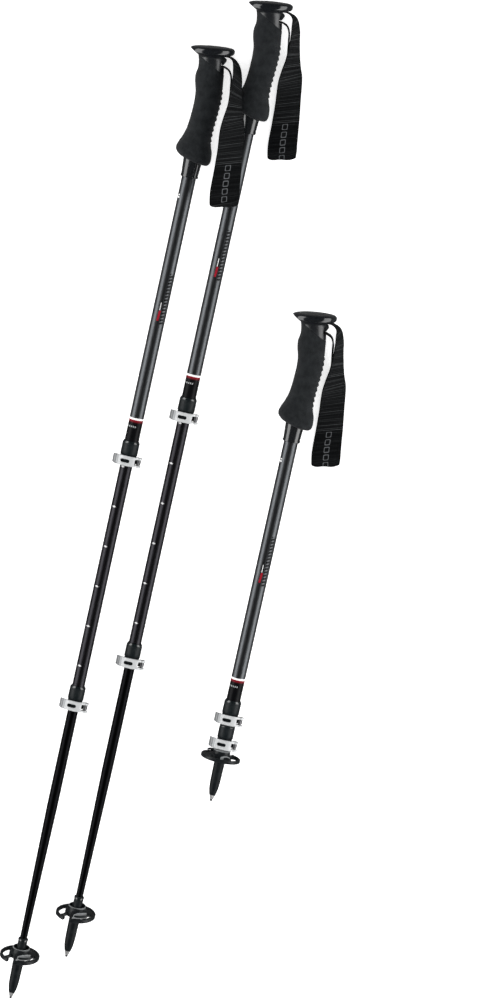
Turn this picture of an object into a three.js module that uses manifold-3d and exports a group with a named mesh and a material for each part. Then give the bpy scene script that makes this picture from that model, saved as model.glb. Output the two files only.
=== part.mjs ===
// Three telescopic trekking poles lying side by side: two extended, one collapsed.
// Millimetres, +Z up. Each shaft runs along Y, with the carbide point at the low-Y end.
import * as THREE from 'three';
import { mergeVertices } from 'three/addons/utils/BufferGeometryUtils.js';
import Module from 'manifold-3d';

const wasm = await Module();
wasm.setup();

// ---- Driving dimensions -------------------------------------------------------------
const gap = 0.3; // clearance between touching pieces
const round = 16; // facets round a shaft
const small = 8; // facets round a pin
const rimSides = 20; // facets round a basket
const wall = 0.8;

const upperDiameter = 18;
const middleDiameter = 15.8;
const lowerDiameter = 13.4;
const lowerEndDiameter = 9.2; // the lower tube tapers to this above the tip
const taperStart = 258;
const taperEnd = 88;

const tipLength = 9.6; // carbide point that shows
const basketHeight = 59; // rim plane of the basket above the point
const lowerReach = { open: 337, shut: 18.5 }; // basket rim to lower clamp
const middleReach = { open: 323, shut: 32.5 }; // lower clamp to upper clamp
const gripReach = 528; // upper clamp to pommel
const middleOverlap = 92; // middle tube inside the upper one when open
const lowerOverlap = 72;

const sleeveTop = 25; // clamp sleeve above the lever's middle
const leverHalfHeight = 6.3;
const clampBottom = -7;
const hingeX = 14; // lever pivot, from the shaft axis
const hingeZ = 7.2;
const upperSleeve = 10.85; // outer radii of the two clamp sleeves
const lowerSleeve = 10.05;
const earHalfHeight = 3.3; // lugs that the tension screw passes through
const earReach = 17;
const earThickness = 3;
const splitWidth = 1.5;
const barrelRadius = 2.1;
const screwRadius = 1.6;
const forkHalfHeight = 3.75;
const leverThickness = 2.2;
const leverSteps = 9;

const pommelCentre = -5.4; // the pommel overhangs the front of the grip
const pommelTilt = THREE.MathUtils.degToRad(7.5);
const foamTop = { height: -18.7, slope: -0.457 }; // slanted joint between foam and head
const foamBottom = -142;
const collarBottom = -162;
const pommelBelow = -25; // top end of the upper tube
const pinX = 5.4; // cross pin that holds the strap in the head
const pinY = -11.5;
const wedgeHalfWidth = 7.5;
const strapThickness = 1.8;
const strapSteps = 40;
const upperFlange = 16.1; // guide bush flanges, which run in the next tube up
const lowerFlange = 13.9;
const hubBore = 7.4;

const axisHeight = 25.5; // radius of the baskets and half depth of the pommels, which touch the floor
const poles = [
  { name: 'left', x: 0, y: 0, state: 'open', strap: 'raised' },
  { name: 'centre', x: 58.8, y: 69.5, state: 'open', strap: 'laid' },
  { name: 'right', x: 197, y: 310, state: 'shut', strap: 'laid' },
];

// ---- Materials ----------------------------------------------------------------------
const finish = (color, roughness, metalness) => () =>
  new THREE.MeshStandardMaterial({ color, roughness, metalness });

const gunmetal = finish(0x55585c, 0.35, 0.85);
const anthracite = finish(0x35363a, 0.4, 0.7);
const blackAnodised = finish(0x131416, 0.4, 0.6);
const silver = finish(0xc9ccce, 0.35, 0.9);
const carbide = finish(0x9b9c9e, 0.35, 0.95);
const glossBlack = finish(0x17191b, 0.25, 0);
const mattBlack = finish(0x1b1d20, 0.55, 0);
const foamBlack = finish(0x24272a, 0.9, 0);
const webbingBlack = finish(0x141516, 0.85, 0);
const nylonGrey = finish(0x3a3c3f, 0.6, 0);

// ---- Geometry helpers ---------------------------------------------------------------
const asSolid = (geometry) => {
  const bare = geometry.clone();
  bare.deleteAttribute('normal');
  bare.deleteAttribute('uv');
  const merged = mergeVertices(bare, 1e-4);
  const vertProperties = new Float32Array(merged.attributes.position.array);
  const triVerts = new Uint32Array(merged.index.array);
  return new wasm.Manifold(new wasm.Mesh({ numProp: 3, vertProperties, triVerts }));
};

const asGeometry = (solid) => {
  const mesh = solid.getMesh();
  const geometry = new THREE.BufferGeometry();
  geometry.setAttribute('position', new THREE.BufferAttribute(mesh.vertProperties, 3));
  geometry.setIndex(new THREE.BufferAttribute(mesh.triVerts, 1));
  return geometry;
};

// Joins the added geometries, then cuts the others away.
const carve = (added, cut = []) => {
  let body = asSolid(added[0]);
  added.slice(1).forEach((piece) => {
    body = body.add(asSolid(piece));
  });
  cut.forEach((piece) => {
    body = body.subtract(asSolid(piece));
  });
  return asGeometry(body);
};

// Turns [radius, height] points about the shaft axis.
const turned = (points, sides = round) =>
  new THREE.LatheGeometry(points.map(([r, y]) => new THREE.Vector2(r, y)), sides);

const disc = (radius, from, to, sides = round) =>
  turned([[0, from], [radius, from], [radius, to], [0, to]], sides);

// A ring: outer points run upwards, and the bore closes the profile.
const ring = (outer, bore, sides = round) => {
  const low = outer[0][1];
  const high = outer[outer.length - 1][1];
  return turned([...outer, [bore, high], [bore, low], outer[0]], sides);
};

const block = (x, y, z) => {
  const size = [x, y, z].map(([low, high]) => high - low);
  const centre = [x, y, z].map(([low, high]) => (low + high) / 2);
  return new THREE.BoxGeometry(...size).translate(...centre);
};

// Extrudes a shape drawn in X and Z along the shaft, between two heights.
const slab = (shape, low, high) => {
  const options = { depth: high - low, bevelEnabled: false, curveSegments: 6 };
  return new THREE.ExtrudeGeometry(shape, options).rotateX(Math.PI / 2).translate(0, high, 0);
};

const circle = (x, z, radius) => new THREE.Shape().absarc(x, z, radius, 0, 2 * Math.PI);

// A body with oval sections: each row is [height, left, right, half depth].
const oval = (rows, tiltAt = () => 0) => {
  const last = rows[rows.length - 1][0];
  const points = [[0, rows[0][0]], ...rows.map(([y]) => [1, y]), [0, last]];
  const geometry = turned(points);
  const position = geometry.attributes.position;
  for (let i = 0; i < position.count; i += 1) {
    const row = rows[THREE.MathUtils.clamp((i % points.length) - 1, 0, rows.length - 1)];
    const [y, left, right, depth] = row;
    const centre = (right - left) / 2;
    const x = centre + position.getX(i) * (right + left) / 2;
    position.setXYZ(i, x, y + (x - pommelCentre) * tiltAt(y), position.getZ(i) * depth);
  }
  return geometry;
};

// The half space above or below the slanted joint of foam and head.
const slantedBlock = (lift, side) => {
  const size = 120;
  const box = new THREE.BoxGeometry(size, size, size).translate(0, side * size / 2, 0);
  return box.rotateZ(Math.atan(foamTop.slope)).translate(0, foamTop.height + lift, 0);
};

// ---- Tubes and their end bushes -----------------------------------------------------
const tube = (diameter, low, high) =>
  ring([[diameter / 2, low], [diameter / 2, high]], diameter / 2 - wall);

const lowerTube = (low, high) => {
  const outer = lowerDiameter / 2;
  const end = lowerEndDiameter / 2;
  return turned([
    [end, low], [end, taperEnd], [outer, taperStart], [outer, high],
    [outer - wall, high], [outer - wall, taperStart], [end - wall, taperEnd], [end - wall, low],
    [end, low],
  ]);
};

// Guide bush: a flange that slides in the outer tube and a spigot in the inner tube's end.
const bush = (innerDiameter, flangeDiameter, tubeEnd) => {
  const spigot = innerDiameter / 2 - wall - gap;
  const bore = spigot - 1.6;
  const seat = tubeEnd + gap;
  const top = tubeEnd + 6;
  return turned([
    [spigot, tubeEnd - 11], [spigot, seat], [flangeDiameter / 2, seat], [flangeDiameter / 2, top],
    [bore, top], [bore, tubeEnd - 11], [spigot, tubeEnd - 11],
  ]);
};

// ---- Grip ---------------------------------------------------------------------------
const gripHead = () => {
  const tilt = (y) => THREE.MathUtils.smoothstep(y, -22, -7) * Math.tan(pommelTilt);
  const body = oval([
    [-36, 19.4, 16.5, 15.2], [-26, 18.4, 15.2, 14.6], [-20, 18.2, 13.8, 14.2],
    [-14, 19.4, 12.6, 14.6], [-10, 22, 13.6, 16.6], [-6.5, 26.6, 16.6, 20.6],
    [-4, 30.6, 20, 23.6], [-2, 32.6, 21.8, 25.2], [0, 33, 22.2, axisHeight], [2, 32, 21.2, 24.6],
    [3.4, 27, 16.4, 20.2], [4.4, 14.4, 3.6, 9],
  ], tilt);
  const spigot = disc(upperDiameter / 2 - wall - gap, -46, -16);
  const pocket = block([3.2, 24], [-20.6, -3], [-9.4, 9.4]);
  const pinBore = disc(1.9, -16, 16, small).rotateX(Math.PI / 2).translate(pinX, pinY, 0);
  const above = asSolid(body).subtract(asSolid(slantedBlock(0, -1)));
  return asGeometry(above.add(asSolid(spigot)).subtract(asSolid(pocket)).subtract(asSolid(pinBore)));
};

const foamGrip = () => {
  const body = oval([
    [foamBottom, 14.5, 19.7, 16.4], [-135, 21, 21.8, 17.8], [-127, 23.7, 20.8, 18],
    [-118, 21.5, 18, 17.4], [-106, 16.7, 17.2, 16.4], [-93, 15, 17.6, 15.6], [-80, 14.8, 18.4, 15.4],
    [-67, 15, 19, 15.4], [-55, 16.4, 18.9, 15.5], [-43, 19.2, 17.4, 15.6], [-33, 19.2, 16.2, 15.2],
    [-26, 18.4, 15.2, 14.6], [-20, 18.2, 13.8, 14.2], [-4, 18.2, 13.8, 14.2],
  ]);
  const bore = disc(upperDiameter / 2 + gap, foamBottom - 5, 5);
  return carve([body], [slantedBlock(-gap, 1), bore]);
};

const gripCollar = () => {
  const top = foamBottom - gap;
  return ring([
    [12.3, collarBottom], [12.9, collarBottom + 1], [12.9, collarBottom + 3],
    [11.7, collarBottom + 4.5], [12.6, top],
  ], upperDiameter / 2 + gap);
};

// ---- Strap, with its wedge and pin --------------------------------------------------
// Loop of webbing. Points are [x, y, width, turn in degrees, raised z, laid z]: at turn 0 the
// webbing stands on edge, and at 90 it lies flat. It leaves the head, runs down the outside
// as the front layer, folds and returns behind it as the narrow back leg.
const strapPoints = [
  [23.9, -9.5, 17, 4, 3, 0], [25.8, -15.5, 18, 20, 7, -1.5], [29.6, -27, 19.5, 26, 15, -4],
  [32.4, -39, 21, 31, 23, -6], [36.6, -62.6, 25, 40, 33, -8], [37.4, -76, 27.5, 60, 34, -9.5],
  [39.1, -89, 29.5, 77, 33, -12], [42.2, -112.6, 30.5, 90, 28.8, -16.2],
  [44.7, -137.6, 33, 90, 28.5, -16.4], [46.6, -162.6, 35.6, 90, 28.5, -16.4],
  [48.6, -177, 35.6, 90, 28.5, -16.4], [49.6, -184.6, 33, 90, 26.6, -18.4],
  [49.9, -186.2, 32, 90, 24.5, -20.4], [49.6, -184.6, 33, 90, 22.4, -22.4],
  [48.6, -177, 35, 90, 20.5, -24.1],
  [46.6, -162.6, 35, 90, 20.4, -24.3], [44.7, -137.6, 33, 90, 20.4, -24.2],
  [42.2, -112.6, 30.5, 90, 20.4, -24.1], [39, -94, 28.5, 72, 24.2, -20.2],
  [34.8, -80, 26, 45, 28.2, -15], [30, -60.6, 19.5, 6, 27, -14.2], [27.2, -43, 19, 0, 17.5, -12.4],
  [25, -28.6, 18, 0, 7.5, -5], [22.4, -22.6, 17, 0, 4, -1.5],
];

const strapFrame = (curve, t) => {
  const scaled = t * (strapPoints.length - 1);
  const index = Math.min(Math.floor(scaled), strapPoints.length - 2);
  const mix = (column) => THREE.MathUtils.lerp(
    strapPoints[index][column], strapPoints[index + 1][column], scaled - index);
  const turn = THREE.MathUtils.degToRad(mix(3));
  const along = curve.getTangent(t);
  const across = new THREE.Vector3(-Math.sin(turn), 0, Math.cos(turn));
  across.addScaledVector(along, -along.dot(across)).normalize();
  return { centre: curve.getPoint(t), across, out: across.clone().cross(along), width: mix(2) };
};

const wristStrap = (lie) => {
  const column = lie === 'raised' ? 4 : 5;
  const curve = new THREE.CatmullRomCurve3(
    strapPoints.map((p) => new THREE.Vector3(p[0], p[1], p[column])), false, 'centripetal');
  const geometry = new THREE.BoxGeometry(1, 1, 1, 1, strapSteps, 1);
  const position = geometry.attributes.position;
  for (let i = 0; i < position.count; i += 1) {
    const frame = strapFrame(curve, position.getY(i) + 0.5);
    const point = frame.centre.addScaledVector(frame.across, position.getX(i) * frame.width);
    point.addScaledVector(frame.out, position.getZ(i) * strapThickness);
    position.setXYZ(i, point.x, point.y, point.z);
  }
  return geometry;
};

const strapWedge = () => {
  const shape = new THREE.Shape();
  shape.moveTo(9.4, -6.3);
  shape.lineTo(15.8, -6.7);
  shape.quadraticCurveTo(16.8, -7.4, 16.3, -8.6);
  shape.lineTo(13.4, -15.6);
  shape.quadraticCurveTo(12.8, -16.6, 11.8, -16.6);
  shape.lineTo(9.4, -16.6);
  const options = { depth: 2 * wedgeHalfWidth, bevelEnabled: false, curveSegments: 4 };
  return new THREE.ExtrudeGeometry(shape, options).translate(0, 0, -wedgeHalfWidth);
};

const strapPin = () => disc(1.5, -12, 12, small).rotateX(Math.PI / 2).translate(pinX, pinY, 0);

// ---- Lever clamps -------------------------------------------------------------------
const clampBody = (outerTube, innerTube, sleeveRadius) => {
  const bodyRadius = sleeveRadius - 0.6;
  const body = turned([
    [0, clampBottom], [bodyRadius - 0.8, clampBottom], [bodyRadius, clampBottom + 0.8],
    [bodyRadius, leverHalfHeight + gap], [sleeveRadius, leverHalfHeight + gap + 0.6],
    [sleeveRadius, sleeveTop - 1.6], [sleeveRadius - 0.9, sleeveTop], [0, sleeveTop],
  ]);
  const ears = [-1, 1].map((side) => {
    const z = [splitWidth / 2, splitWidth / 2 + earThickness].map((edge) => side * edge);
    return block([bodyRadius - 3, earReach], [-earHalfHeight, earHalfHeight], z.sort((a, b) => a - b));
  });
  const socket = disc(outerTube / 2 + gap, 1, sleeveTop + 1);
  const bore = disc(innerTube / 2 + gap, clampBottom - 1, 2);
  const split = block([4, earReach + 1], [clampBottom - 1, 5], [-splitWidth / 2, splitWidth / 2]);
  const boltHole = disc(screwRadius + 0.4, -6, 6, small).rotateX(Math.PI / 2).translate(hingeX, 0, 0);
  return carve([body, ...ears], [socket, bore, split, boltHole]);
};

// Barrel nut along the shaft and tension screw through the ears.
const clampBolt = () => {
  const barrelHalfLength = leverHalfHeight - 0.4;
  const underEars = -(splitWidth / 2 + earThickness + gap);
  const barrel = disc(barrelRadius, -barrelHalfLength, barrelHalfLength, small)
    .translate(hingeX, 0, hingeZ);
  const screw = disc(screwRadius, -5, hingeZ, small).rotateX(Math.PI / 2).translate(hingeX, 0, 0);
  const head = disc(3, -7.4, underEars, small).rotateX(Math.PI / 2).translate(hingeX, 0, 0);
  return carve([barrel, screw, head]);
};

// Band of constant thickness along a smooth line drawn in X and Z.
const bandShape = (points) => {
  const curve = new THREE.SplineCurve(points.map(([x, z]) => new THREE.Vector2(x, z)));
  const side = (sign) => Array.from({ length: leverSteps + 1 }, (_, i) => {
    const along = curve.getTangent(i / leverSteps);
    const normal = new THREE.Vector2(-along.y, along.x).multiplyScalar(sign * leverThickness / 2);
    return curve.getPoint(i / leverSteps).add(normal);
  });
  return new THREE.Shape([...side(1), ...side(-1).reverse()]);
};

const clampLever = () => {
  const line = [[14, 8.6], [10.5, 10.8], [5, 12.8], [0, 13.3], [-6, 12.7], [-11.5, 10.2],
    [-15.6, 6.4], [-18, 1.5]];
  const band = slab(bandShape(line), -leverHalfHeight, leverHalfHeight);
  const boss = slab(circle(hingeX, hingeZ, 4), -leverHalfHeight, leverHalfHeight);
  const fork = block([9.3, 20], [-forkHalfHeight, forkHalfHeight], [0, 18]);
  const pivot = slab(circle(hingeX, hingeZ, barrelRadius + gap), -8, 8);
  const slot = block([-8.4, 2.4], [-1.8, 1.8], [8, 18]);
  return carve([band, boss], [fork, pivot, slot]);
};

// ---- Tip and basket -----------------------------------------------------------------
const flexTip = () => {
  const bore = lowerEndDiameter / 2 + gap;
  return turned([
    [3.5, tipLength + gap], [6.4, 25], [7, 64], [9, 64.3], [9, 67], [6.1, 67.6],
    [6, 82], [bore, 82], [bore, 36], [0, 36], [0, 26], [2.3, 26],
    [2.3, tipLength + gap], [3.5, tipLength + gap],
  ]);
};

const carbideTip = () => turned([
  [0, 0], [1.3, 0], [1.5, 2.4], [2.9, 6.4], [3.4, tipLength], [2, tipLength], [2, 24], [0, 24],
], 12);

// A sector between two radii, angles in degrees from +X towards +Z.
const sector = (inner, outer, from, to) => {
  const [start, end] = [from, to].map(THREE.MathUtils.degToRad);
  const shape = new THREE.Shape();
  shape.absarc(0, 0, outer, start, end, false);
  shape.absarc(0, 0, inner, end, start, true);
  return shape;
};

const basket = () => {
  const rim = axisHeight;
  const dish = turned([
    [hubBore, 57], [13, 57.4], [rim, 56], [rim, 60.8], [22.4, 60], [13, 63],
    [11.2, 64], [11, 69.6], [9.6, 69.6], [9.4, 64], [hubBore, 63.9], [hubBore, 57],
  ], rimSides);
  const low = 50;
  const high = 66;
  const leftWindow = slab(sector(14.6, 22, 150, 232), low, high);
  const rightWindow = slab(sector(14.6, 18, -16, 20), low, high);
  const notch = slab(sector(12.4, 30, 96, 140), low, 63);
  return carve([dish], [leftWindow, rightWindow, notch]);
};

// ---- Assembly -----------------------------------------------------------------------
const named = (name, geometry, material) => {
  const mesh = new THREE.Mesh(geometry, material());
  mesh.name = name;
  return mesh;
};

const at = (y, ...meshes) => {
  const group = new THREE.Group();
  group.position.y = y;
  group.add(...meshes);
  return group;
};

const makePole = ({ name, x, y, state, strap }) => {
  const lowerClamp = basketHeight + lowerReach[state];
  const upperClamp = lowerClamp + middleReach[state];
  const lowerTubeEnd = basketHeight + lowerReach.open + lowerOverlap;
  const middleTubeEnd = middleReach.open + middleOverlap;
  const pole = new THREE.Group();
  const label = (part) => `${name}_${part}`;
  pole.add(
    at(upperClamp + gripReach,
      named(label('grip_head'), gripHead(), glossBlack),
      named(label('foam_grip'), foamGrip(), foamBlack),
      named(label('grip_collar'), gripCollar(), glossBlack),
      named(label('wrist_strap'), wristStrap(strap), webbingBlack),
      named(label('strap_wedge'), strapWedge(), mattBlack),
      named(label('strap_pin'), strapPin(), silver),
      named(label('upper_tube'), tube(upperDiameter, 1.5 - gripReach, pommelBelow), gunmetal)),
    at(upperClamp,
      named(label('upper_clamp'), clampBody(upperDiameter, middleDiameter, upperSleeve), mattBlack),
      named(label('upper_bolt'), clampBolt(), silver),
      named(label('upper_lever'), clampLever(), silver)),
    at(lowerClamp,
      named(label('middle_tube'), tube(middleDiameter, 1.5, middleTubeEnd), anthracite),
      named(label('middle_bush'), bush(middleDiameter, upperFlange, middleTubeEnd), nylonGrey),
      named(label('lower_clamp'), clampBody(middleDiameter, lowerDiameter, lowerSleeve), mattBlack),
      named(label('lower_bolt'), clampBolt(), silver),
      named(label('lower_lever'), clampLever(), silver)),
    named(label('lower_tube'), lowerTube(40, lowerTubeEnd), blackAnodised),
    named(label('lower_bush'), bush(lowerDiameter, lowerFlange, lowerTubeEnd), nylonGrey),
    named(label('basket'), basket(), mattBlack),
    named(label('flex_tip'), flexTip(), mattBlack),
    named(label('carbide_tip'), carbideTip(), carbide),
  );
  pole.position.set(x, y, axisHeight);
  return pole;
};

// Origin at the middle of the underside.
const group = new THREE.Group();
group.add(...poles.map(makePole));
group.updateMatrixWorld(true);
const box = new THREE.Box3().setFromObject(group, true);
const centre = box.getCenter(new THREE.Vector3());
group.position.set(-centre.x, -centre.y, -box.min.z);

export default group;
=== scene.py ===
import bpy
import math
from mathutils import Matrix, Vector


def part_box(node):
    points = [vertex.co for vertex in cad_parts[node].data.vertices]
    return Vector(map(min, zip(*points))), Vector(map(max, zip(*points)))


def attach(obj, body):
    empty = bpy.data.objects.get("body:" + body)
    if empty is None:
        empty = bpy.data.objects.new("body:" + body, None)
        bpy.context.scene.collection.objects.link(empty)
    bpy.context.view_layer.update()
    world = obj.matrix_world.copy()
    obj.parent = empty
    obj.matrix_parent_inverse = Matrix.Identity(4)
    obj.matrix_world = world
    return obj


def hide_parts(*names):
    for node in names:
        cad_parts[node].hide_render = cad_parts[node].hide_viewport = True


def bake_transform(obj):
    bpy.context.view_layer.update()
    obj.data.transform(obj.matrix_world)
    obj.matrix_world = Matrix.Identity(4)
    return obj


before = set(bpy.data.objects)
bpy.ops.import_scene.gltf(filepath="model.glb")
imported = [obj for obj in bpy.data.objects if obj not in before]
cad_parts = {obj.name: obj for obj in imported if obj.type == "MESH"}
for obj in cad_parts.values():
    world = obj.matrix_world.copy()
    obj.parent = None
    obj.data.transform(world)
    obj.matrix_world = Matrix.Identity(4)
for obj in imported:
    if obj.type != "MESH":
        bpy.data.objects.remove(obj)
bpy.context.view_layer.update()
print("frame loaded")

# Each shape is modelled once, in millimetres about the shaft's own axis: X to the lever side,
# Y up the shaft, Z away from the floor. It is then placed, in metres, on every pole.
poleNames = ["left", "centre", "right"]
millimetre = 0.001
clampTop = 25  # sleeve's upper end above the lever's middle
pommelAbove = 25  # pommel's rim above the end of the upper tube


def poleAnchors(pole):
    tubeLow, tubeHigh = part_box(pole + "_upper_tube")
    middle = (tubeLow + tubeHigh) / 2

    def onAxis(y):
        return Vector((middle.x, y, middle.z))

    return {
        "grip": onAxis(tubeHigh.y + pommelAbove * millimetre),
        "upperClamp": onAxis(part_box(pole + "_upper_clamp")[1].y - clampTop * millimetre),
        "lowerClamp": onAxis(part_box(pole + "_lower_clamp")[1].y - clampTop * millimetre),
        "tip": onAxis(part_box(pole + "_carbide_tip")[0].y),
    }


anchors = {pole: poleAnchors(pole) for pole in poleNames}


# Modelling steps shared by the pieces

def cleanStart():
    if bpy.context.mode != "OBJECT":
        bpy.ops.object.mode_set(mode="OBJECT")
    bpy.ops.object.select_all(action="DESELECT")


def makeActive(piece):
    cleanStart()
    piece.select_set(True)
    bpy.context.view_layer.objects.active = piece


def useModifier(piece, kind, **settings):
    makeActive(piece)
    modifier = piece.modifiers.new(kind.title(), kind)
    for key, value in settings.items():
        setattr(modifier, key, value)
    bpy.ops.object.modifier_apply(modifier=modifier.name)


def roundEdges(piece, width, segments=2, above=40):
    useModifier(piece, "BEVEL", width=width, segments=segments, limit_method="ANGLE",
                angle_limit=math.radians(above))


def cutAway(piece, cutter):
    useModifier(piece, "BOOLEAN", operation="DIFFERENCE", solver="EXACT", object=cutter)
    bpy.data.objects.remove(cutter)


def joinOn(piece, extra):
    useModifier(piece, "BOOLEAN", operation="UNION", solver="EXACT", object=extra)
    bpy.data.objects.remove(extra)


def faceOut(piece):
    makeActive(piece)
    bpy.ops.object.mode_set(mode="EDIT")
    bpy.ops.mesh.select_all(action="SELECT")
    bpy.ops.mesh.remove_doubles(threshold=0.002)
    bpy.ops.mesh.normals_make_consistent(inside=False)
    bpy.ops.object.mode_set(mode="OBJECT")


# Rows of a loft are (height, left, right, half depth): an oval section at each height.
def loftPiece(name, rows, sides=48, hollow=False):
    cleanStart()
    fill = "NOTHING" if hollow else "NGON"
    bpy.ops.mesh.primitive_circle_add(vertices=sides, radius=1, fill_type=fill,
                                      rotation=(math.pi / 2, 0, 0))
    bpy.ops.object.transform_apply(location=False, rotation=True, scale=False)
    piece = bpy.context.active_object
    piece.name = name
    bpy.ops.object.mode_set(mode="EDIT")
    bpy.ops.mesh.select_all(action="SELECT")
    before = (0, 1, 1, 1)
    for count, row in enumerate(rows):
        height, left, right, depth = row
        middle = (right - left) / 2
        move = (middle - (before[2] - before[1]) / 2, height - before[0], 0)
        if count == 0:
            bpy.ops.transform.translate(value=move)
        else:
            bpy.ops.mesh.extrude_region_move(TRANSFORM_OT_translate={"value": move})
        grow = ((left + right) / (before[1] + before[2]), 1, depth / before[3])
        bpy.ops.transform.resize(value=grow, center_override=(middle, height, 0))
        before = row
    bpy.ops.object.mode_set(mode="OBJECT")
    faceOut(piece)
    return piece


# Outline points are (radius, height); a hollow outline ends where it starts.
def turnPiece(name, outline, sides=48, hollow=False):
    return loftPiece(name, [(y, r, r, r) for r, y in outline], sides, hollow)


def roundBlock(name, x, y, z, radius=0.0, segments=4):
    cleanStart()
    middle = [(low + high) / 2 for low, high in (x, y, z)]
    size = [high - low for low, high in (x, y, z)]
    bpy.ops.mesh.primitive_cube_add(size=1, location=middle, scale=size)
    bpy.ops.object.transform_apply(location=True, rotation=False, scale=True)
    piece = bpy.context.active_object
    piece.name = name
    if radius:
        roundEdges(piece, radius, segments)
    return piece


# A rod along the shaft direction, or along Z where upright is set.
def rodPiece(name, radius, low, high, x=0.0, z=0.0, upright=False, sides=32):
    piece = turnPiece(name, [(radius, low), (radius, high)], sides)
    if upright:
        piece.data.transform(Matrix.Rotation(math.pi / 2, 4, "X"))
    piece.data.transform(Matrix.Translation((x, 0, z)))
    return piece


# Smooth curve through rows of numbers, read at t from 0 to 1.
def alongRows(rows, t):
    scaled = min(max(t, 0), 1) * (len(rows) - 1)
    index = min(int(scaled), len(rows) - 2)
    u = scaled - index
    a, b = rows[index], rows[index + 1]
    before = rows[index - 1] if index > 0 else [2 * p - q for p, q in zip(a, b)]
    after = rows[index + 2] if index + 2 < len(rows) else [2 * q - p for p, q in zip(a, b)]
    return [0.5 * (2 * q + (r - p) * u + (2 * p - 5 * q + 4 * r - s) * u ** 2
                   + (3 * q - p - 3 * r + s) * u ** 3)
            for p, q, r, s in zip(before, a, b, after)]


def smoothStep(value, low, high):
    t = min(max((value - low) / (high - low), 0), 1)
    return t * t * (3 - 2 * t)


def keepPlace(piece):
    place = piece.data.attributes.new("place", "FLOAT_VECTOR", "POINT")
    place.data.foreach_set("vector", [c for v in piece.data.vertices for c in v.co])


def putOnPoles(model, part, anchor, body, material, poles=poleNames, ride=True):
    makeActive(model)
    bpy.ops.object.shade_smooth_by_angle(angle=math.radians(32))
    keepPlace(model)
    model.data.materials.clear()
    model.data.materials.append(material)
    placed = []
    for pole in poles:
        piece = model.copy()
        piece.data = model.data.copy()
        piece.name = f"{pole}_{part}_finished"
        piece.data.name = piece.name
        bpy.context.collection.objects.link(piece)
        scale = Matrix.Scale(millimetre, 4)
        piece.data.transform(Matrix.Translation(anchors[pole][anchor]) @ scale)
        if ride:
            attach(piece, f"{pole}_{body}")
        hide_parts(f"{pole}_{part}")
        placed.append(piece)
    bpy.data.objects.remove(model)
    print("placed", part)
    return placed


# Material steps

socketNames = {
    "sheen": "Sheen Weight", "sheenRoughness": "Sheen Roughness",
    "specular": "Specular IOR Level", "tint": "Specular Tint",
}


def startMaterial(name, colour, roughness, metallic=0.0, **sockets):
    material = bpy.data.materials.new(name)
    material.use_nodes = True
    shader = material.node_tree.nodes["Principled BSDF"]
    shader.inputs["Base Color"].default_value = (*colour, 1)
    shader.inputs["Roughness"].default_value = roughness
    shader.inputs["Metallic"].default_value = metallic
    for key, value in sockets.items():
        shader.inputs[socketNames[key]].default_value = value
    return material, shader


def wire(material, source, target):
    material.node_tree.links.new(source, target)


def calc(material, operation, *terms):
    node = material.node_tree.nodes.new("ShaderNodeMath")
    node.operation = operation
    for socket, term in zip(node.inputs, terms):
        if isinstance(term, (int, float)):
            socket.default_value = term
        else:
            wire(material, term, socket)
    return node.outputs[0]


# The stored place of a point in millimetres on its own pole, or an object's own coordinates.
def placeOf(material, stored="place"):
    nodes = material.node_tree.nodes
    if stored:
        source = nodes.new("ShaderNodeAttribute")
        source.attribute_name = stored
        vector = source.outputs["Vector"]
    else:
        vector = nodes.new("ShaderNodeTexCoord").outputs["Object"]
    split = nodes.new("ShaderNodeSeparateXYZ")
    wire(material, vector, split.inputs[0])
    return vector, split.outputs[0], split.outputs[1], split.outputs[2]


def stretched(material, vector, scale):
    node = material.node_tree.nodes.new("ShaderNodeVectorMath")
    node.operation = "MULTIPLY"
    wire(material, vector, node.inputs[0])
    node.inputs[1].default_value = scale
    return node.outputs[0]


def grain(material, vector, scale, detail=3.0, rough=0.55):
    node = material.node_tree.nodes.new("ShaderNodeTexNoise")
    wire(material, vector, node.inputs["Vector"])
    node.inputs["Scale"].default_value = scale
    node.inputs["Detail"].default_value = detail
    node.inputs["Roughness"].default_value = rough
    return node.outputs["Fac"]


def ranged(material, value, low, high, fromLow=0.3, fromHigh=0.7):
    node = material.node_tree.nodes.new("ShaderNodeMapRange")
    wire(material, value, node.inputs["Value"])
    node.inputs["From Min"].default_value = fromLow
    node.inputs["From Max"].default_value = fromHigh
    node.inputs["To Min"].default_value = low
    node.inputs["To Max"].default_value = high
    return node.outputs["Result"]


def mixColours(material, factor, first, second):
    node = material.node_tree.nodes.new("ShaderNodeMix")
    node.data_type = "RGBA"
    wire(material, factor, node.inputs[0])
    for socket, colour in ((node.inputs[6], first), (node.inputs[7], second)):
        if isinstance(colour, tuple):
            socket.default_value = (*colour, 1)
        else:
            wire(material, colour, socket)
    return node.outputs[2]


def addBump(material, shader, height, depth, strength=1.0):
    node = material.node_tree.nodes.new("ShaderNodeBump")
    node.inputs["Strength"].default_value = strength
    node.inputs["Distance"].default_value = depth * millimetre
    wire(material, height, node.inputs["Height"])
    wire(material, node.outputs["Normal"], shader.inputs["Normal"])


def between(material, value, low, high):
    return calc(material, "COMPARE", value, (low + high) / 2, (high - low) / 2)


def both(material, first, second):
    return calc(material, "MULTIPLY", first, second)


# Moulded plastics: colour, roughness and the depth and size of the mould's grain

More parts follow.
